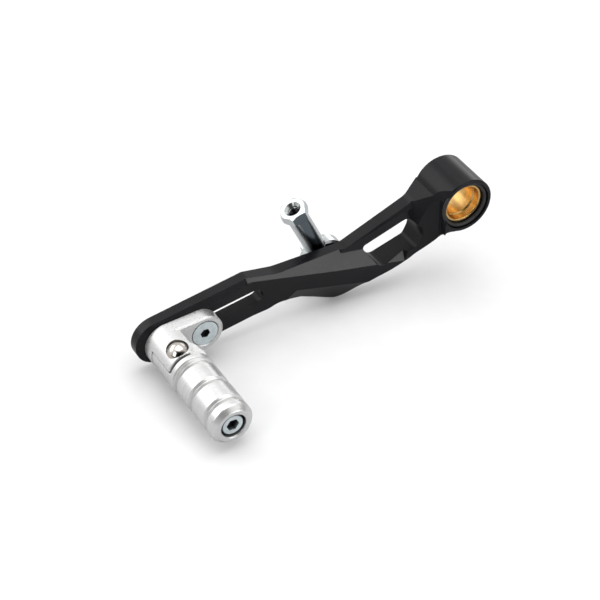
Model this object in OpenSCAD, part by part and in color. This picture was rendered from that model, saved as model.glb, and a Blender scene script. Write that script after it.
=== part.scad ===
// Motorcycle gear shift lever: a milled black arm with a bronze pivot bush, a
// rod end for the shift linkage, and a folding toe peg on a sliding bracket.
// Frame: origin on the pivot axis at the middle of the bush, +Y inwards to the
// engine, -Y outwards, -X towards the toe, +Z up. Millimetres.

/* [Pivot] */
// Outside diameter of the pivot boss
boss_d = 26; // [25:0.5:28]
// Distance from the origin to the boss's outer face
boss_out = 12.5; // [12:0.5:15]
// Bore of the bronze bush
bush_bore = 15; // [12:0.5:15.5]
// Outside diameter of the bronze bush
bush_od = 19; // [18.5:0.5:19.5]

/* [Arm] */
// Distance from the origin to the flat back of the arm
back_y = 10; // [10:0.5:10.5]
// Thickness of the toe plate
toe_t = 6; // [5:0.5:6.5]
// Radius of the toe plate's round end, half its height
toe_r = 10.55; // [10:0.05:11]
// Width of the adjusting slot
slot_w = 7; // [6.92:0.02:7.2]
// Length of the adjusting slot between its end centres
slot_l = 35.4; // [34:0.2:36.4]

/* [Toe peg] */
// Diameter of the peg's grip sleeve
grip_d = 19.4; // [18.4:0.2:19.6]
// Length of the grip sleeve
grip_l = 34.5; // [33:0.5:40]
// Depth of the grip grooves
groove = 1.2; // [0.6:0.1:1.5]
// Diameter of the hinge pin
pin_d = 5; // [4:0.5:5.5]

/* [Rod end] */
// Lean of the rod end's shank towards the toe, from upright
rod_lean = 25; // [0:0.5:30]
// Distance from the ball's centre to the mouth of the thread
rod_l = 35.4; // [30:0.2:38]
// Diameter of the rod end's eye
eye_d = 20.5; // [19:0.5:21]

/* [Hidden] */
$fn = 64;
eps = 0.02;                   // small overlap or clearance

// colours shared by several pieces
screw_color = [0.66, 0.71, 0.72];
washer_color = [0.70, 0.72, 0.72];
bolt_color = [0.66, 0.68, 0.68];
peg_color = [0.82, 0.82, 0.81];

// pivot
boss_r = boss_d / 2;
bush_r = bush_od / 2;
bore_r = bush_bore / 2;
bush_end = 10;                // half the length of the bush
seal_r = 0.9;                 // section radius of a seal's seat

// screws
screw_r = 3;                  // shank of every screw and bolt
tapped_r = screw_r + eps;
loose_r = 3.2;                // clearance hole round a screw
snug_r = 3.05;                // close hole round the rod end's bolt

// toe plate
toe_slope = 8.6;
toe_origin = [-138, 0, -29.1];  // peg axis on the toe plate
toe_end = [-141, -28.7];      // centre of the round end, x-z
toe_y = back_y - toe_t;       // outer face
slot_x = 8;                   // toe-side end centre of the slot

// bracket and hinge, in the toe plate's frame
barrel_r = 10;
foot_end_r = 8.5;             // round end of the foot
clamp_at = [15.6, 0];         // clamp screw, x-z
foot_y = toe_y - 6;           // outer face of the foot
ear_y = -16.7;                // outer end of the ears
root_y = -1.95;               // bottom of the gap between the ears
gap = 4.8;                    // half the gap between the ears
dowel_r = 2.5;
dowel_at = [slot_x + 0.5, 0]; // x-z
pin_at = [-1.2, -11.5];       // hinge pin, x-y
pin_r = pin_d / 2;
tongue = 4.2;                 // half the thickness of the peg's tongue
detent_at = [-5.2, 0];        // detent's axis, x-z
detent_y = -3.75;             // centre of the detent ball

// peg, in the toe plate's frame
grip_r = grip_d / 2;
grip_y = -20.5;               // start of the grip sleeve
tip_y = grip_y - grip_l;
tip_seat = tip_y + 7.8;       // floor of the sleeve's counterbore
tip_head = tip_y + 7;         // joint between tip screw's head and washer
spigot_y = -43;               // end of the spigot
spigot_r = 6;

// rod end
ball_at = [-54.8, -25.8];     // centre of the ball, x-z
ball_y = back_y + 6.5;
ball_r = 6.35;
ball_flat = 4.47;             // half the ball's width between its flats
eye_r = eye_d / 2;
eye_bore = 8;

// ---- solids: "at" is x-z for parts along Y and x-y for parts along Z ----
module box(low, high) translate(low) cube(high - low);
module cyl_y(radius, y0, y1, at = [0, 0])
  translate([at[0], y1, at[1]]) rotate([90, 0, 0]) cylinder(r = radius, h = y1 - y0);
// radius r0 at y0 and r1 at y1
module cone_y(r0, r1, y0, y1, at = [0, 0])
  translate([at[0], y0, at[1]]) rotate([-90, 0, 0]) cylinder(r1 = r0, r2 = r1, h = y1 - y0);
module cyl_z(radius, z0, z1, at = [0, 0])
  translate([at[0], at[1], z0]) cylinder(r = radius, h = z1 - z0);
module cone_z(r0, r1, z0, z1)
  translate([0, 0, z0]) cylinder(r1 = r0, r2 = r1, h = z1 - z0);
// x-z outline extruded from y0 to y1
module slab_y(y0, y1)
  translate([0, y1, 0]) rotate([90, 0, 0]) linear_extrude(y1 - y0) children();
// x-y outline extruded from z0 to z1
module slab_z(z0, z1) translate([0, 0, z0]) linear_extrude(z1 - z0) children();
// hexagonal prism along Y, "across" its flats
module hex_y(across, y0, y1, at = [0, 0], turn = 0)
  translate([at[0], y1, at[1]]) rotate([90, turn, 0])
    cylinder(r = across / sqrt(3), h = y1 - y0, $fn = 6);
// nut or bolt head, 10 across flats, with its inner corners chamfered
module chamfered_hex(y0, y1, at, turn) intersection() {
  hex_y(10, y0, y1, at, turn);
  union() {
    cyl_y(5.8, y0 - 0.12, y1 - 0.6, at);
    cone_y(5.8, 4.8, y1 - 0.6 - eps, y1 + 0.1, at);
  }
}
module washer(radius, hole_r, y0, y1, at = [0, 0]) difference() {
  cyl_y(radius, y0, y1, at);
  cyl_y(hole_r, y0 - 1, y1 + 1, at);
}
// solid of revolution about Y, profile in (radius, y)
module turned(profile)
  rotate([90, 0, 0]) mirror([0, 0, 1]) rotate_extrude() polygon(profile);
// big block beyond the plane through a point, on the side its normal points to
module beyond(point, normal) translate(point)
  rotate([0, acos(normal[2] / norm(normal)), atan2(normal[1], normal[0])])
    translate([-90, -90, 0]) cube(180);

// ---- frames ----
// toe plate: x along the slot
module on_toe() translate(toe_origin) rotate([0, -toe_slope, 0]) children();
// hinge: z along the pin
module on_hinge() on_toe() translate([pin_at[0], pin_at[1], 0]) children();
// rod end: origin in the ball, z along the shank
module on_rod_end()
  translate([ball_at[0], ball_y, ball_at[1]]) rotate([0, -rod_lean, 0]) children();

// ---- outlines ----
function unit(v) = v / norm(v);
function arc(radius, from, to, steps) =
  [for (i = [0 : steps])
    let (angle = from + (to - from) * i / steps) radius * [cos(angle), sin(angle)]];

// Catmull-Rom point between b and c, at t from 0 to 1
function span_point(a, b, c, d, t) = 0.5 * (2 * b + (c - a) * t
  + (2 * a - 5 * b + 4 * c - d) * t * t + (3 * b - a - 3 * c + d) * t * t * t);
// smooth curve from the second point up to, but without, the last but one
function curve(points, steps) =
  [for (i = [1 : len(points) - 3]) for (j = [0 : steps - 1])
    span_point(points[i - 1], points[i], points[i + 1], points[i + 2], j / steps)];

// arc that rounds the corner at b between a and c
function round_corner(a, b, c, radius, steps) =
  let (to_a = unit(a - b), to_c = unit(c - b),
       half = acos(to_a * to_c) / 2,
       tangent = radius / tan(half),
       centre = b + unit(to_a + to_c) * radius / sin(half),
       first = b + to_a * tangent - centre,
       last = b + to_c * tangent - centre,
       start = atan2(first[1], first[0]),
       turn = atan2(last[1], last[0]) - start,
       sweep = turn > 180 ? turn - 360 : turn < -180 ? turn + 360 : turn)
  [for (p = arc(radius, start, start + sweep, steps)) centre + p];
// outline from rows of [x, y, corner radius]; radius 0 keeps the corner sharp
function rounded(rows, steps = 6) =
  let (count = len(rows), points = [for (row = rows) [row[0], row[1]]])
  [for (i = [0 : count - 1]) each (rows[i][2] == 0
    ? [points[i]]
    : round_corner(points[(i + count - 1) % count], points[i], points[(i + 1) % count],
        rows[i][2], steps))];

// ---- arm ----
// from the toe plate's middle line to its upper edge
toe_up = toe_r * [-sin(toe_slope), cos(toe_slope)];

// upper edge from toe to boss: x, z, corner radius
upper_edge = rounded([
  [each (toe_end + toe_up), 0],
  [-98.7, -11.72, 3], [-84, -14.55, 26], [-50.7, -14.85, 10], [-17.3, -1.9, 6],
  [-11.9, 5.2, 0], [-4, 8, 0]]);

// curved part of the lower edge from boss to toe: x, z
lower_curve = [
  [0, -12.6], [-4.5, -12.1], [-7.8, -11.4], [-9.8, -11.7], [-10.6, -14.6],
  [-11.5, -17.7], [-13, -20.7], [-15.2, -23.5], [-17.8, -25.5], [-21.8, -27.8],
  [-29.6, -30.9], [-36, -32.6], [-42.3, -34.4], [-45.6, -36.6], [-49, -40.2],
  [-53.2, -42.4], [-57.5, -41], [-65.2, -36.8], [-73, -33], [-78.4, -30.5],
  [-82, -29.7], [-85.4, -30.1], [-89, -31.4], [-92, -31.9], [-96, -32.4]];
lower_edge = concat([[4, 3], [4, -10]], curve(lower_curve, 3), [toe_end - toe_up]);

// flank seen from above, a flat toe plate and then a concave sweep out to the boss: x, y
plan_outline = concat(
  [[-160, toe_y], [-96.3, toe_y], [-30.5, toe_y - 5]],
  [for (p = arc(10.2, 92, 0, 12)) p + [-20.3, -12]],
  [[-10.1, -20], [20, -20], [20, back_y], [-160, back_y]]);

// window through the web: x, z, corner radius
window_outline = rounded([
  [-42.6, -17.1, 1.8], [-16.3, -7.4, 5], [-15, -17, 8], [-17.8, -22.6, 3],
  [-35.6, -27.6, 3.6]]);

// points on the slanting facets
upper_point = [-52.6, toe_y + 1, -15.8];
lower_point = [-75.8, toe_y - 1.6, -26.1];

module arm_body() intersection() {
  union() {
    slab_y(-boss_out + 0.3, back_y) polygon(concat(upper_edge, lower_edge));
    cyl_y(toe_r, -boss_out + 0.3, back_y, toe_end);
    // pivot boss
    turned([[0, -boss_out], [boss_r - 0.5, -boss_out], [boss_r, -boss_out + 0.5],
      [boss_r, back_y - 0.8], [boss_r - 0.8, back_y], [0, back_y]]);
  }
  slab_z(-70, 30) polygon(plan_outline);
}
// slanting facet along the upper outer edge
module upper_facet() intersection() {
  beyond(upper_point, [0.039, -0.861, 0.506]);
  box([-99.6, -40, -60], [-52.6, 20, 20]);
}
// space on the toe side of the pocket's slanting end wall, next to the boss
module pocket_end() beyond([-17.4, 4.6, -1.6], [-0.901, -0.332, 0.279]);
// pocket on the outer side of the thin web
module pocket() intersection() {
  beyond(upper_point, [0.022, -0.861, 0.508]);
  slab_z(-70, 30) polygon([[-52.7, 4.58], [0, 1.68], [0, -30], [-52.7, -30]]);
  pocket_end();
}
// narrow band along the upper edge of the pocket
module pocket_band() intersection() {
  beyond([-53, toe_y + 1.2, -14.8], cross([36, -2.58, 10.9], [36, -0.9, 13.3]));
  pocket_end();
  box([-52.7, -40, -40], [-12.7, 20, 20]);
}
// slanting facet along the lower outer edge
module lower_facet() intersection() {
  beyond(lower_point, [-0.169, -0.864, -0.474]);
  beyond(lower_point, [0.163, -0.930, -0.329]);
  box([-90, -60, -70], [-30, 40, 30]);
}
// shallow chamfer round the toe end and along its top edge
module toe_rim() {
  depth = 1.3;
  cone_start = toe_y - 2;
  cone_r = toe_r - 8.38;
  wedge_end = toe_y + 1.4;
  difference() {
    box([-170, toe_y - 1, -60], [-99, toe_y + depth, 0]);
    // what is left: a cone at the round end and a wedge behind it, drawn in y-z
    cone_y(cone_r, toe_r + eps, cone_start, toe_y + depth + eps, toe_end);
    translate([toe_end[0], 0, toe_end[1]]) rotate([0, -toe_slope, 0]) rotate([90, 0, 90])
      linear_extrude(60) polygon([[wedge_end, -40], [wedge_end, toe_r + 0.27],
        [cone_start, cone_r], [cone_start, -40]]);
  }
}
// bore for the bush, with a seat for a seal at each end
module pivot_bore() {
  cyl_y(bush_r, -30, 30);
  cyl_y(bush_r + 2 * seal_r, -30, -10);
  cyl_y(bush_r + 2 * seal_r, 8.1, 30);
}
module adjusting_slot() on_toe() {
  half = slot_w / 2;
  cyl_y(half, -30, 30, [slot_x, 0]);
  cyl_y(half, -30, 30, [slot_x + slot_l, 0]);
  box([slot_x, -30, -half], [slot_x + slot_l, 30, half]);
}
// blind tapped hole for the rod end's bolt
module bolt_hole() {
  cyl_y(tapped_r, 2.2, 30, ball_at);
  cone_y(tapped_r, 3.6, back_y - 0.6, back_y + eps, ball_at);
}
module lever_arm() color([0.07, 0.07, 0.08]) difference() {
  arm_body();
  upper_facet();
  pocket();
  pocket_band();
  lower_facet();
  toe_rim();
  slab_y(-40, 40) polygon(window_outline);
  pivot_bore();
  adjusting_slot();
  bolt_hole();
}

// ---- pivot ----
module pivot_bush() color([0.80, 0.58, 0.28]) turned([
  [bore_r + 0.9, -bush_end], [bush_r - 0.4, -bush_end],
  [bush_r - 0.01, -bush_end + 0.4], [bush_r - 0.01, bush_end - 0.4],
  [bush_r - 0.4, bush_end], [bore_r + 0.5, bush_end], [bore_r, bush_end - 0.5],
  [bore_r, -6], [bore_r + 0.6, -6.6], [bore_r + 0.6, -9.7]]);
module seal(y) color([0.05, 0.05, 0.05])
  translate([0, y, 0]) rotate([90, 0, 0]) rotate_extrude()
    translate([bush_r + seal_r, 0]) circle(r = seal_r - eps, $fn = 24);
module outer_dust_seal() seal(-10.92);
module inner_dust_seal() seal(9);

// ---- sliding toe bracket ----
// outline round the barrel and the clamp screw with common tangents, grown by d
module foot_shape(d) {
  lean = asin((barrel_r - foot_end_r) / clamp_at[0]);
  normal = [sin(lean), cos(lean)];
  near = (barrel_r + d) * normal;
  far = clamp_at + (foot_end_r + d) * normal;
  circle(r = barrel_r + d);
  translate(clamp_at) circle(r = foot_end_r + d);
  polygon([near, far, [far[0], -far[1]], [near[0], -near[1]]]);
}
module bracket_body() {
  // foot, with its outer edge stepped in
  slab_y(foot_y + 0.6, toe_y - eps) foot_shape(0);
  slab_y(foot_y + 0.3, foot_y + 0.6 + eps) foot_shape(-0.25);
  slab_y(foot_y, foot_y + 0.3 + eps) foot_shape(-0.6);
  // barrel that ends in two ears
  cyl_y(barrel_r, ear_y + 0.4, toe_y - eps);
  cone_y(barrel_r - 0.4, barrel_r, ear_y, ear_y + 0.4 + eps);
  // fillet where the barrel meets the foot
  intersection() {
    turned([[9.5, foot_y + 1], [9.5, foot_y - 2], [10, foot_y - 1.6],
      [10.12, foot_y - 0.99], [10.47, foot_y - 0.47], [10.99, foot_y - 0.12],
      [11.6, foot_y], [11.6, foot_y + 1]]);
    slab_y(foot_y - 4, foot_y + 1) foot_shape(-0.6);
  }
}
module ear_cuts() {
  // gap between the ears, open on both sides
  box([-20, -40, -gap], [20, root_y, gap]);
  // ears cut back round the pin, so the peg can fold
  box([5, -40, -20], [25, root_y - 0.05, -gap]);
  box([5, -40, gap], [25, root_y - 0.05, 20]);
  difference() {
    box([pin_at[0], -40, -20], [pin_at[0] + 40, pin_at[1], 20]);
    cyl_z(6.2, -21, 21, pin_at);
  }
  // pin hole, with flat seats for the pin's head above and its clip below
  cyl_z(pin_r + eps, -20, 20, pin_at);
  cyl_z(4.9, 8, 16, pin_at);
  cyl_z(5.3, -16.5, -8.5, pin_at);
}
module toe_bracket() color([0.80, 0.80, 0.79]) on_toe() difference() {
  union() bracket_body();
  ear_cuts();
  // dimple for the detent ball
  translate([detent_at[0], detent_y, 0]) sphere(r = 2.2);
  // countersunk hole for the clamp screw
  cyl_y(loose_r, -40, 40, clamp_at);
  cone_y(6.5, loose_r, foot_y - eps, foot_y + 3.3, clamp_at);
  // seat for the guide dowel
  cyl_y(dowel_r + eps, toe_y - 3, toe_y + 1, dowel_at);
}
module bracket_screw() color(screw_color) on_toe() difference() {
  head_r = 5.96;
  union() {
    cyl_y(head_r, foot_y + 0.12, foot_y + 0.2, clamp_at);
    cone_y(head_r, screw_r, foot_y + 0.2 - eps, foot_y + 3.16, clamp_at);
    cyl_y(screw_r, foot_y + 3, back_y + 7.1, clamp_at);
    cone_y(screw_r, screw_r - 0.5, back_y + 7.1 - eps, back_y + 7.6, clamp_at);
  }
  hex_y(4, foot_y - 1, foot_y + 2.4, clamp_at, 20);
}
module clamp_washer() color(washer_color) on_toe()
  washer(8, loose_r, back_y + eps, back_y + 1.5, clamp_at);
module clamp_nut() color(screw_color) on_toe() difference() {
  chamfered_hex(back_y + 1.5 + eps, back_y + 6.5, clamp_at, 8);
  cyl_y(tapped_r, 0, 40, clamp_at);
}
module bracket_dowel() color(bolt_color) on_toe() {
  // stem in the bracket, then a wider head in the slot
  head_r = 3.45;
  cyl_y(dowel_r, toe_y - 2.9, toe_y + eps, dowel_at);
  cyl_y(head_r, toe_y, back_y - 1, dowel_at);
  cone_y(head_r, 3, back_y - 1 - eps, back_y - 0.5, dowel_at);
}

// ---- hinge ----
module hinge_pin() color([0.74, 0.70, 0.66]) on_hinge() difference() {
  union() {
    cyl_z(pin_r, -9.5, 8.5);
    cone_z(pin_r - 0.4, pin_r, -9.9, -9.5 + eps);
    // domed head
    intersection() {
      translate([0, 0, 6.38]) sphere(r = 5.02);
      cyl_z(6, 8.02, 14.02);
    }
  }
  // groove for the clip
  difference() {
    cyl_z(pin_r + 1, -9.12, -8.5);
    cyl_z(pin_r - 0.4, -10, -8);
  }
}
module hinge_clip() color([0.30, 0.31, 0.33]) on_hinge() difference() {
  cyl_z(4.2, -9.1, -8.52);
  cyl_z(pin_r - 0.38, -10, -7);
  box([-1.5, 0, -10], [1.5, 6, -7]);
}
module hinge_thrust_washers() color([0.25, 0.25, 0.26]) on_hinge()
  for (z = [tongue + 0.05, -tongue - 0.55]) difference() {
    cyl_z(4.6, z, z + 0.5);
    cyl_z(pin_r + 0.05, z - 1, z + 2);
  }

// ---- toe peg ----
// tongue between the ears, rounded about the pin on the +X side
module peg_tongue() intersection() {
  cyl_y(9.8, grip_y + 1, root_y - 0.25);
  box([-20, -40, -tongue], [20, 20, tongue]);
  union() {
    box([-20, -40, -20], [pin_at[0], 20, 20]);
    slab_z(-20, 20) polygon([pin_at + [-1, 0], pin_at + [9.3, 0],
      [pin_at[0] + 10.9, -17.9], [pin_at[0] + 10.9, -21], [pin_at[0] - 1, -21]]);
    cyl_z(9.3, -20, 20, pin_at);
  }
}
module peg_core() color(peg_color) on_toe() difference() {
  union() {
    peg_tongue();
    // collar
    turned([[0, grip_y], [9.6, grip_y], [9.9, grip_y + 0.3], [9.9, grip_y + 2.3],
      [9.6, grip_y + 2.6], [0, grip_y + 2.6]]);
    // spigot that carries the sleeve
    turned([[0, spigot_y], [spigot_r - 0.5, spigot_y], [spigot_r, spigot_y + 0.5],
      [spigot_r, grip_y + eps], [0, grip_y + eps]]);
  }
  cyl_z(pin_r + 0.05, -20, 20, pin_at);
  // bore for the detent ball and its spring
  cyl_y(1.8, -9, 0, detent_at);
  // thread for the tip screw
  cyl_y(tapped_r, -50, -28);
}

// grip grooves: y where the steep side starts, y where it meets the floor
grooves = [[-21, -21.5], [-33.7, -34.3], [-46.2, -46.8]];

module peg_sleeve() color(peg_color) on_toe() turned([
  [spigot_r + 0.03, grip_y - eps], [grip_r - 0.3, grip_y - eps], [grip_r, grip_y - 0.3],
  for (g = grooves) each [[grip_r, g[0]], [grip_r - groove, g[1]],
    [grip_r - groove, g[1] - 0.4], [grip_r, g[1] - 2.9]],
  [grip_r, tip_y + 2.6], [grip_r - 0.25, tip_y + 2], [7.7, tip_y + 0.15], [7.4, tip_y],
  // counterbore, screw hole and spigot bore
  [6, tip_y], [5.65, tip_y + 0.35], [5.65, tip_seat], [loose_r, tip_seat],
  [loose_r, spigot_y - 0.2], [spigot_r + 0.03, spigot_y - 0.2]]);
module peg_screw_washer() color(washer_color) on_toe()
  washer(5.4, loose_r, tip_head, tip_seat - eps);
module peg_screw() color(screw_color) on_toe() difference() {
  union() {
    turned([[0, tip_y + 1], [4.5, tip_y + 1], [5, tip_y + 1.5], [5, tip_head - eps],
      [0, tip_head - eps]]);
    cyl_y(screw_r, tip_y + 6.9, -30);
    cone_y(screw_r, screw_r - 0.5, -30 - eps, -29.5);
  }
  hex_y(5, tip_y, tip_y + 4.2, turn = 14);
}
module detent_ball() color([0.78, 0.79, 0.80]) on_toe()
  translate([detent_at[0], detent_y, 0]) sphere(r = 1.75, $fn = 32);
module detent_spring() color([0.55, 0.56, 0.58]) on_toe()
  translate([detent_at[0], detent_y - 1.9, 0]) rotate([90, 0, 0])
    linear_extrude(height = 3.2, twist = -360 * 3.5, $fn = 20, slices = 72)
      translate([1.2, 0]) circle(r = 0.3, $fn = 8);

// ---- rod end ----
// hexagon at the shank's mouth, chamfered at both ends
module shank_hex() intersection() {
  corner_r = 6.35;
  translate([0, 0, rod_l - 4.6]) rotate([0, 0, -3])
    cylinder(r = 11 / sqrt(3), h = 4.6, $fn = 6);
  union() {
    cyl_z(corner_r, rod_l - 4.1, rod_l - 0.6);
    cone_z(5.6, corner_r, rod_l - 4.7, rod_l - 4.1 + eps);
    cone_z(corner_r, 5.4, rod_l - 0.6 - eps, rod_l + 0.05 - eps);
  }
}
module rod_end_body() color([0.72, 0.74, 0.74]) on_rod_end() difference() {
  union() {
    turned([[0, -3.4], [eye_r - 1, -3.4], [eye_r, -2.4], [eye_r, 2.4], [eye_r - 1, 3.4],
      [0, 3.4]]);
    cyl_z(4.75, 6, rod_l - 4.5);
    shank_hex();
  }
  cyl_y(eye_bore, -6, 6);
  // thread, with a countersunk mouth
  cyl_z(2.5, rod_l - 13, rod_l + 7);
  cone_z(2.5, 3.75, rod_l - 1.4, rod_l + eps);
}
module rod_end_liner() color([0.62, 0.42, 0.20]) on_rod_end() difference() {
  cyl_y(eye_bore - eps, -3, 3);
  rotate([90, 0, 0]) sphere(r = ball_r + 0.03);
}
module rod_end_ball() color([0.80, 0.81, 0.82]) on_rod_end() difference() {
  rotate([90, 0, 0]) sphere(r = ball_r);
  box([-10, ball_flat, -10], [10, ball_flat + 10, 10]);
  box([-10, -ball_flat - 10, -10], [10, -ball_flat, 10]);
  cyl_y(snug_r, -10, 10);
}
module rod_end_spacer() color(washer_color)
  washer(4.9, snug_r, back_y + eps, back_y + 2, ball_at);
module rod_end_lock_washer() color(washer_color)
  washer(5.5, snug_r, back_y + 11.02, back_y + 12.4, ball_at);
module rod_end_bolt() color(bolt_color) {
  cone_y(screw_r - 0.5, screw_r, 2.7, 3.2 + eps, ball_at);
  cyl_y(screw_r, 3.2, back_y + 12.5, ball_at);
  chamfered_hex(back_y + 12.4 + eps, back_y + 16.4, ball_at, 10);
}

lever_arm();
pivot_bush();
outer_dust_seal();
inner_dust_seal();
toe_bracket();
bracket_screw();
clamp_washer();
clamp_nut();
bracket_dowel();
hinge_pin();
hinge_clip();
hinge_thrust_washers();
peg_core();
peg_sleeve();
peg_screw();
peg_screw_washer();
detent_spring();
detent_ball();
rod_end_body();
rod_end_liner();
rod_end_ball();
rod_end_bolt();
rod_end_spacer();
rod_end_lock_washer();
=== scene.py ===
"""Looks and stage for a lever arm with a pivot bush, a hinged toe bracket, a peg and a rod end.

Metres, +Z up. The rod end leans from +Z towards -X, and the bracket's clamp screw lies along Y.
The camera looks down from the -X, -Y side.
"""
import math

import bmesh
import bpy
from mathutils import Matrix, Vector


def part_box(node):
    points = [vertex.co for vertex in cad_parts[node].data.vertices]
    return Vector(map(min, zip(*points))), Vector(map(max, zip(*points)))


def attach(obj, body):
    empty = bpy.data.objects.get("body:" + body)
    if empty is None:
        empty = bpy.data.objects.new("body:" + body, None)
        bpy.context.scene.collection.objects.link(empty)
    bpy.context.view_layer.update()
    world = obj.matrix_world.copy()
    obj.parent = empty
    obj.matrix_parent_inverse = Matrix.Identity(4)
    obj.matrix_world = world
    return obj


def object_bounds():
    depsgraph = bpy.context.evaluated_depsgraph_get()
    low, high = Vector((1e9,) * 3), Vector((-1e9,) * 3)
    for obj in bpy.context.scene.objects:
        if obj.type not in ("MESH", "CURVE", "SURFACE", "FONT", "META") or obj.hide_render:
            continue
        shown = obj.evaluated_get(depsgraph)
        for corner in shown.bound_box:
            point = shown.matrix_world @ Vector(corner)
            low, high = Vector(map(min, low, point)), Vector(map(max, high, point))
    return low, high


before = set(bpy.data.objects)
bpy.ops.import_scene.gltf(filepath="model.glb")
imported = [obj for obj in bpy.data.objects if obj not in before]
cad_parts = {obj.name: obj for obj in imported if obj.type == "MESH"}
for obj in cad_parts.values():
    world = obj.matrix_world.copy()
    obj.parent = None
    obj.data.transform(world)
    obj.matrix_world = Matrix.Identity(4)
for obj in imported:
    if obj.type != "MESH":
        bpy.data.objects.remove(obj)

CAD_LOW, CAD_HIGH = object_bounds()
scene = bpy.context.scene

# Camera axes and place. The world also uses CAMERA_BACK, for the dark patch behind the camera.
CAMERA_RIGHT = Vector((0.86427, -0.50302, 0.0))
CAMERA_UP = Vector((0.32468, 0.55785, 0.76380))
CAMERA_BACK = Vector((-0.38421, -0.66013, 0.64546))
CAMERA_PLACE = Vector((-0.40056, -0.55833, 0.51612))
CAMERA_LENS = 118.14    # mm
CAMERA_SENSOR = 36.0    # mm


# ---------------------------------------------------------------- node helpers
class Graph:
    """Builds a node tree, starting from an empty one."""

    def __init__(self, tree):
        self.tree = tree
        tree.nodes.clear()

    def feed(self, socket, value):
        """Links a socket to another, or gives it a fixed value."""
        if isinstance(value, bpy.types.NodeSocket):
            self.tree.links.new(value, socket)
        else:
            socket.default_value = value

    def node(self, kind, inputs=None, **settings):
        node = self.tree.nodes.new("ShaderNode" + kind)
        for name, value in settings.items():
            setattr(node, name, value)
        for key, value in (inputs or {}).items():
            self.feed(node.inputs[key], value)
        return node

    def remap(self, value, low, high, source=(0.3, 0.7), interpolation="LINEAR"):
        """Maps the source range to low..high; 0.3 to 0.7 is the useful range of a noise."""
        return self.node("MapRange", {
            "From Min": source[0], "From Max": source[1],
            "To Min": low, "To Max": high, "Value": value,
        }, interpolation_type=interpolation).outputs[0]

    def mix(self, factor, first, second, blend="MIX"):
        """Mixes two colours, each an RGB tuple or a socket."""
        factor_in, first_in, second_in, colour_out = 0, 6, 7, 2    # the node's RGBA sockets
        first, second = ((*c, 1) if isinstance(c, tuple) else c for c in (first, second))
        return self.node("Mix", {factor_in: factor, first_in: first, second_in: second},
                         data_type="RGBA", blend_type=blend).outputs[colour_out]

    def dot(self, vector, direction):
        return self.node("VectorMath", {0: vector, 1: direction},
                         operation="DOT_PRODUCT").outputs["Value"]


class Finish(Graph):
    """A material made of one Principled shader in object coordinates."""

    def __init__(self, name):
        self.material = bpy.data.materials.new(name)
        self.material.use_nodes = True
        super().__init__(self.material.node_tree)
        output = self.node("OutputMaterial")
        self.shader = self.node("BsdfPrincipled")
        self.feed(output.inputs["Surface"], self.shader.outputs[0])
        self.coord = self.node("TexCoord").outputs["Object"]

    def shade(self, **inputs):
        """Feeds the shader's inputs; an underscore stands for a space."""
        for name, value in inputs.items():
            self.feed(self.shader.inputs[name.replace("_", " ")], value)

    def noise(self, scale=1.0, detail=3.0, roughness=0.5, stretch=None):
        """Noise; stretch gives a separate frequency along x, y and z."""
        vector = self.coord
        if stretch:
            vector = self.node("Mapping", {
                "Scale": tuple(1 / frequency for frequency in stretch), "Vector": vector,
            }, vector_type="TEXTURE").outputs[0]
        return self.node("TexNoise", {
            "Scale": scale, "Detail": detail, "Roughness": roughness, "Vector": vector,
        }).outputs["Fac"]

    def mottle(self, pattern, first, second):
        """Varies between two colours with a noise."""
        return self.mix(self.remap(pattern, 0, 1), first, second)

    def openness(self, distance, samples):
        """1 in the open, falling to 0 close to other surfaces."""
        return self.node("AmbientOcclusion", {"Distance": distance}, samples=samples).outputs["AO"]

    def painted_cavity_shade(self, colour, dark, distance, fade):
        """Painted shade: darkens a colour inside holes, grooves and joints, over the fade range of
        openness.
        """
        factor = self.remap(self.openness(distance, samples=10), 0.0, 1.0, source=fade)
        return self.mix(factor, dark, colour)

    def painted_facing_reflection(self, colour, dark, towards, fade):
        """Painted dark reflection: darkens a colour where the surface faces one way; fade is a
        range of cosines.
        """
        normal = self.node("NewGeometry").outputs["Normal"]
        cosine = self.dot(normal, Vector(towards).normalized())
        return self.mix(self.remap(cosine, 0.0, 1.0, source=fade), colour, dark)

    def bump(self, height, strength, distance, edge_radius=0.0):
        """Adds relief, and rounds the edges in shading if a radius is given."""
        bump = self.node("Bump", {"Strength": strength, "Distance": distance, "Height": height})
        if edge_radius:
            bevel = self.node("Bevel", {"Radius": edge_radius}, samples=6)
            self.feed(bump.inputs["Normal"], bevel.outputs[0])
        self.shade(Normal=bump.outputs[0])


# ---------------------------------------------------------------- materials
def black_anodised():
    finish = Finish("black_anodised_alloy")
    grain = finish.noise(scale=5200, detail=3, roughness=0.6)
    cloud = finish.noise(scale=55, detail=4, roughness=0.55)
    finish.shade(
        Base_Color=finish.mottle(cloud, (0.0045, 0.0045, 0.0055), (0.0075, 0.0075, 0.009)),
        Roughness=finish.remap(cloud, low=0.21, high=0.27),
        # painted shade: less specular reflection close to other parts
        Specular_IOR_Level=finish.remap(finish.openness(distance=0.022, samples=8),
                                        low=0.05, high=0.23, source=(0.0, 1.0)))
    finish.bump(grain, strength=0.22, distance=0.00003, edge_radius=0.00035)
    return finish.material


def silver_alloy(name, turned):
    """Bare alloy; a turned part has fine rings along Y, a milled one an even grain."""
    base = (0.76, 0.76, 0.75)
    finish = Finish(name)
    if turned:
        lines = finish.noise(detail=2, roughness=0.7, stretch=(25, 7000, 25))
        fine = finish.noise(detail=1, roughness=0.5, stretch=(60, 1500, 60))
    else:
        lines = finish.noise(detail=2, roughness=0.7, stretch=(900, 900, 900))
        fine = finish.noise(scale=140, detail=3, roughness=0.5)
    skin = finish.mottle(fine, tuple(c * 0.93 for c in base), base)
    # painted shade in grooves and joints
    skin = finish.painted_cavity_shade(skin, dark=(0.10, 0.10, 0.10), distance=0.0018, fade=(0.10, 0.62))
    finish.shade(Base_Color=skin, Roughness=finish.remap(lines, low=0.25, high=0.36),
                 Metallic=0.85)
    finish.bump(lines, strength=0.16, distance=0.00003, edge_radius=0.0003)
    return finish.material


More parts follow.
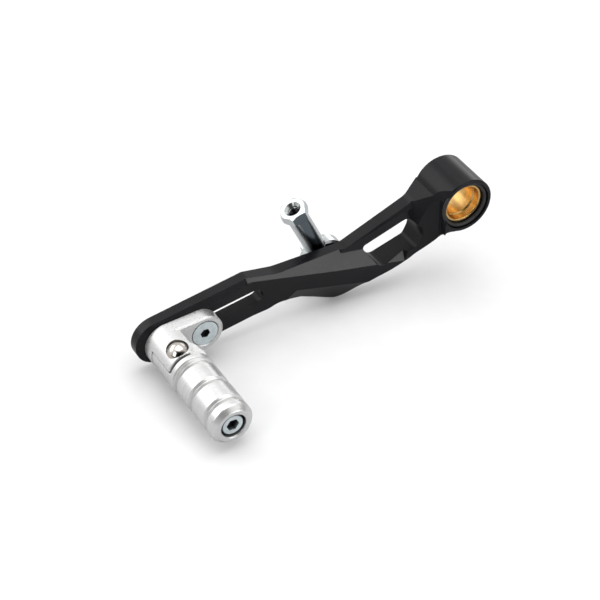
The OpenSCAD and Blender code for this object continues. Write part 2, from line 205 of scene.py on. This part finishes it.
def plated_steel(name, base, roughness, metallic, painted_dark_reflection=False):
    """Patchy plated steel; the flag paints a dark reflection on the side that faces -Y, and deeper
    painted shade in hollows.
    """
    finish = Finish(name)
    patch = finish.noise(scale=420, detail=4, roughness=0.6)
    fine = finish.noise(scale=3500, detail=2, roughness=0.6)
    skin = finish.mottle(patch, tuple(c * 0.82 for c in base),
                         tuple(c * gain for c, gain in zip(base, (1.08, 1.06, 1.02))))
    if painted_dark_reflection:
        # painted dark reflection on the side that faces -Y
        skin = finish.painted_facing_reflection(skin, dark=(0.13, 0.155, 0.17), towards=(0.12, -0.99, -0.05),
                             fade=(0.80, 0.93))
        # painted shade in holes, grooves and joints, reaching further
        skin = finish.painted_cavity_shade(skin, dark=(0.025, 0.025, 0.03), distance=0.007, fade=(0.35, 0.85))
    else:
        # painted shade in holes, grooves and joints
        skin = finish.painted_cavity_shade(skin, dark=(0.02, 0.022, 0.025), distance=0.0045, fade=(0.45, 0.88))
    finish.shade(Base_Color=skin, Roughness=finish.remap(fine, *roughness), Metallic=metallic)
    finish.bump(fine, strength=0.12, distance=0.00003, edge_radius=0.00025)
    return finish.material


def polished_pin():
    finish = Finish("polished_pin_steel")
    cloud = finish.noise(scale=300)
    skin = finish.mottle(cloud, (0.60, 0.55, 0.51), (0.70, 0.66, 0.62))
    # painted reflection: a dark spot in the colour where the dome mirrors the viewer's side of the
    # room
    skin = finish.painted_facing_reflection(skin, dark=(0.035, 0.033, 0.032), towards=(-0.12, -0.85, 0.50),
                         fade=(0.87, 0.96))
    finish.shade(Base_Color=skin, Roughness=finish.remap(cloud, low=0.10, high=0.17),
                 Metallic=1.0)
    finish.bump(cloud, strength=0.05, distance=0.00002)
    return finish.material


def chrome_ball():
    finish = Finish("chrome_ball_steel")
    cloud = finish.noise(scale=800)
    finish.shade(Base_Color=finish.mottle(cloud, (0.74, 0.75, 0.76), (0.82, 0.82, 0.83)),
                 Roughness=finish.remap(cloud, low=0.08, high=0.16), Metallic=1.0)
    finish.bump(cloud, strength=0.04, distance=0.00002)
    return finish.material


def bronze(name, dark, light, roughness, rings):
    """Bronze, with fine rings along Y or an even grain."""
    finish = Finish(name)
    cloud = finish.noise(scale=260, detail=4, roughness=0.55)
    if rings:
        lines = finish.noise(detail=2, roughness=0.6, stretch=(60, 5200, 60))
    else:
        lines = finish.noise(scale=2600, detail=3, roughness=0.6)
    finish.shade(Base_Color=finish.mottle(cloud, dark, light),
                 Roughness=finish.remap(lines, *roughness), Metallic=1.0)
    finish.bump(lines, strength=0.18, distance=0.00003, edge_radius=0.0002)
    return finish.material


def rubber():
    finish = Finish("seal_rubber_black")
    grain = finish.noise(scale=3800, detail=4, roughness=0.6)
    cloud = finish.noise(scale=240)
    finish.shade(Base_Color=finish.mottle(cloud, (0.010, 0.010, 0.010), (0.020, 0.020, 0.020)),
                 Roughness=finish.remap(grain, low=0.48, high=0.66))
    finish.bump(grain, strength=0.25, distance=0.00004)
    return finish.material


def plastic():
    finish = Finish("washer_black_plastic")
    grain = finish.noise(scale=2400, detail=3, roughness=0.6)
    finish.shade(Base_Color=finish.mottle(grain, (0.030, 0.030, 0.031), (0.050, 0.050, 0.050)),
                 Roughness=finish.remap(grain, low=0.38, high=0.52))
    finish.bump(grain, strength=0.15, distance=0.00003)
    return finish.material


BLACK = black_anodised()
MILLED = silver_alloy("silver_milled_alloy", turned=False)
TURNED = silver_alloy("silver_turned_alloy", turned=True)
# zinc carries a painted dark reflection on its -Y side
ZINC = plated_steel("zinc_plated_steel", base=(0.72, 0.76, 0.77), roughness=(0.16, 0.26),
                    metallic=1.0, painted_dark_reflection=True)
SCREW = plated_steel("screw_zinc_steel", base=(0.62, 0.70, 0.73), roughness=(0.26, 0.40),
                     metallic=0.45)
SPRING = plated_steel("dark_spring_steel", base=(0.26, 0.27, 0.29), roughness=(0.28, 0.40),
                      metallic=1.0)
POLISHED = polished_pin()
CHROME = chrome_ball()
BUSH = bronze("bush_sintered_bronze", dark=(0.66, 0.40, 0.13), light=(0.83, 0.55, 0.22),
              roughness=(0.20, 0.34), rings=True)
LINER = bronze("liner_dull_bronze", dark=(0.34, 0.22, 0.09), light=(0.48, 0.32, 0.14),
               roughness=(0.34, 0.50), rings=False)
RUBBER = rubber()
PLASTIC = plastic()

LOOKS = {
    "lever_arm": BLACK, "pivot_bush": BUSH,
    "outer_dust_seal": RUBBER, "inner_dust_seal": RUBBER,
    "toe_bracket": MILLED, "bracket_screw": SCREW, "bracket_dowel": ZINC,
    "clamp_washer": ZINC, "clamp_nut": ZINC,
    "hinge_pin": POLISHED, "hinge_clip": SPRING, "hinge_thrust_washers": PLASTIC,
    "peg_core": TURNED, "peg_sleeve": TURNED, "peg_screw": SCREW, "peg_screw_washer": ZINC,
    "detent_spring": SPRING, "detent_ball": CHROME,
    "rod_end_body": ZINC, "rod_end_liner": LINER, "rod_end_ball": CHROME, "rod_end_bolt": ZINC,
    "rod_end_spacer": ZINC, "rod_end_lock_washer": ZINC,
}
for name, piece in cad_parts.items():
    slots = piece.data.materials
    if slots:
        for i in range(len(slots)):
            slots[i] = LOOKS[name]
    else:
        slots.append(LOOKS[name])


# ---------------------------------------------------------------- threads
def add_object(name, data):
    added = bpy.data.objects.new(name, data)
    scene.collection.objects.link(added)
    return added


def add_mesh(name, bm, material):
    """Turns a bmesh into an object in the scene, and frees it."""
    mesh = bpy.data.meshes.new(name)
    bm.to_mesh(mesh)
    bm.free()
    added = add_object(name, mesh)
    mesh.materials.append(material)
    return added


def box_centre(name):
    low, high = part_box(name)
    return (Vector(low) + Vector(high)) / 2


THREAD_PITCH = 0.001
STEPS_PER_TURN = 40
THREAD_OVERLAP = 0.00004    # how far the ridge's root sinks into the wall


def helix_thread(name, radius, depth, start, axis, length, body, material, inside):
    """A closed ridge with a narrow flat crest that winds along an axis and fades at both ends."""
    bm = bmesh.new()
    axis = Vector(axis).normalized()
    side = axis.orthogonal().normalized()
    across = axis.cross(side)
    turns = length / THREAD_PITCH
    count = int(turns * STEPS_PER_TURN)
    fade_steps = STEPS_PER_TURN * 0.6
    outward = -1 if inside else 1
    root = radius - outward * THREAD_OVERLAP
    root_half = THREAD_PITCH * 0.42
    crest_half = root_half * 0.12
    rings = []
    for i in range(count + 1):
        angle = 2 * math.pi * turns * i / count
        fade = max(min(1.0, i / fade_steps, (count - i) / fade_steps), 0.08)
        radial = side * math.cos(angle) + across * math.sin(angle)
        centre = Vector(start) + axis * (length * i / count)
        crest = radius + outward * depth * fade
        # distance from the axis, offset along it
        profile = ((root, -root_half), (crest, -crest_half), (crest, crest_half),
                   (root, root_half))
        rings.append([bm.verts.new(centre + radial * distance + axis * offset)
                      for distance, offset in profile])
    for ring, following in zip(rings, rings[1:]):
        for k in range(4):
            after = (k + 1) % 4
            bm.faces.new((ring[k], following[k], following[after], ring[after]))
    bm.faces.new(tuple(reversed(rings[0])))
    bm.faces.new(tuple(rings[-1]))
    bmesh.ops.recalc_face_normals(bm, faces=bm.faces)
    thread = add_mesh(name, bm, material)
    for face in thread.data.polygons:
        face.use_smooth = False
    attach(thread, body)


ROD_LEAN = math.radians(25)    # from +Z towards -X
rod_direction = Vector((-math.sin(ROD_LEAN), 0, math.cos(ROD_LEAN)))
helix_thread("rod_end_inner_thread", radius=0.0025, depth=0.00035,
             start=box_centre("rod_end_ball") + rod_direction * 0.0230, axis=rod_direction,
             length=0.0108, body="rod_end", material=ZINC, inside=True)

# the short end of the screw that shows on the nut's +Y side
nut_centre = box_centre("clamp_nut")
nut_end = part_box("clamp_nut")[1][1]
helix_thread("bracket_screw_thread", radius=0.0029, depth=0.00009,
             start=(nut_centre.x, nut_end + 0.0001, nut_centre.z), axis=(0, 1, 0),
             length=0.0006, body="bracket", material=SCREW, inside=False)

# ---------------------------------------------------------------- floor
FLOOR_GAP = 0.0004    # below the lowest piece
FLOOR_HALF = 6.0


def pale_floor():
    finish = Finish("pale_studio_floor")
    paper = finish.noise(scale=90, detail=4, roughness=0.5)
    sheet = finish.mottle(paper, (0.80, 0.80, 0.805), (0.82, 0.82, 0.82))
    # in reflections the sheet is dimmer, as if only its middle were lit
    glossy = finish.node("LightPath").outputs["Is Glossy Ray"]
    finish.shade(Base_Color=finish.mix(glossy, sheet, (0.50, 0.50, 0.51)),
                 Roughness=0.9, Specular_IOR_Level=0.05)
    return finish.material


bm = bmesh.new()
bmesh.ops.create_grid(bm, x_segments=4, y_segments=4, size=FLOOR_HALF)
floor = add_mesh("studio_floor", bm, pale_floor())
floor.location = (0, 0, CAD_LOW.z - FLOOR_GAP)


# ---------------------------------------------------------------- world
def build_world():
    world = bpy.data.worlds.new("studio")
    scene.world = world
    world.use_nodes = True
    graph = Graph(world.node_tree)
    output = graph.node("OutputWorld")
    background = graph.node("Background", {"Strength": 0.95})
    direction = graph.node("TexCoord").outputs["Generated"]
    parts = graph.node("SeparateXYZ", {0: direction})

    # grey by height: dark low down, white high up
    ramp = graph.node("ValToRGB", {0: parts.outputs["Z"]})
    low, high = ramp.color_ramp.elements
    low.position = 0.0
    low.color = (0.05, 0.05, 0.055, 1)
    high.position = 0.75
    high.color = (1.0, 1.0, 1.0, 1)
    ramp.color_ramp.elements.new(0.16).color = (0.22, 0.22, 0.23, 1)

    # the rear (+Y) half of the room stays bright down to the floor
    rear = graph.remap(parts.outputs["Y"], low=0.0, high=1.0, source=(-0.25, 0.40),
                       interpolation="SMOOTHSTEP")
    room = graph.mix(rear, ramp.outputs[0], (0.92, 0.92, 0.93))

    # a darker patch behind the camera
    patch = graph.remap(graph.dot(direction, CAMERA_BACK), low=1.0, high=0.08,
                        source=(0.78, 0.95), interpolation="SMOOTHSTEP")
    sky = graph.mix(1.0, room, patch, blend="MULTIPLY")
    graph.feed(background.inputs["Color"], sky)
    graph.feed(output.inputs[0], background.outputs[0])


build_world()

# ---------------------------------------------------------------- lights and camera
LIGHT_TARGET = Vector((-0.07, -0.01, -0.02))
# name, place, size, radiance
SOFTBOXES = (
    ("key_right_front", (0.48, -1.05, 0.34), (0.8, 0.36), 5.4),
    ("back_left", (-0.62, 0.85, 0.62), (1.2, 0.7), 1.15),
    ("back_right", (0.86, 0.80, 0.22), (0.6, 0.4), 1.2),
    ("top_soft", (0.05, 0.05, 1.2), (1.3, 1.3), 1.6),
    ("left_strip", (-1.0, -0.35, 0.55), (0.5, 0.8), 2.2),
)
for name, place, size, radiance in SOFTBOXES:
    light = bpy.data.lights.new(name, "AREA")
    light.shape = "RECTANGLE"
    light.size, light.size_y = size
    light.energy = radiance * math.pi * size[0] * size[1]
    lamp = add_object(name, light)
    lamp.location = place
    lamp.rotation_mode = "QUATERNION"
    lamp.rotation_quaternion = (LIGHT_TARGET - Vector(place)).to_track_quat("-Z", "Y")

camera_data = bpy.data.cameras.new("camera")
camera_data.lens = CAMERA_LENS
camera_data.sensor_width = CAMERA_SENSOR
camera_data.clip_start, camera_data.clip_end = 0.01, 50
camera = bpy.data.objects.new("camera", camera_data)
pose = Matrix((CAMERA_RIGHT, CAMERA_UP, CAMERA_BACK)).transposed().to_4x4()
pose.translation = CAMERA_PLACE
camera.matrix_world = pose
scene.collection.objects.link(camera)
scene.camera = camera
scene.view_settings.view_transform = "Standard"

# ---------------------------------------------------------------- update
bpy.context.view_layer.update()
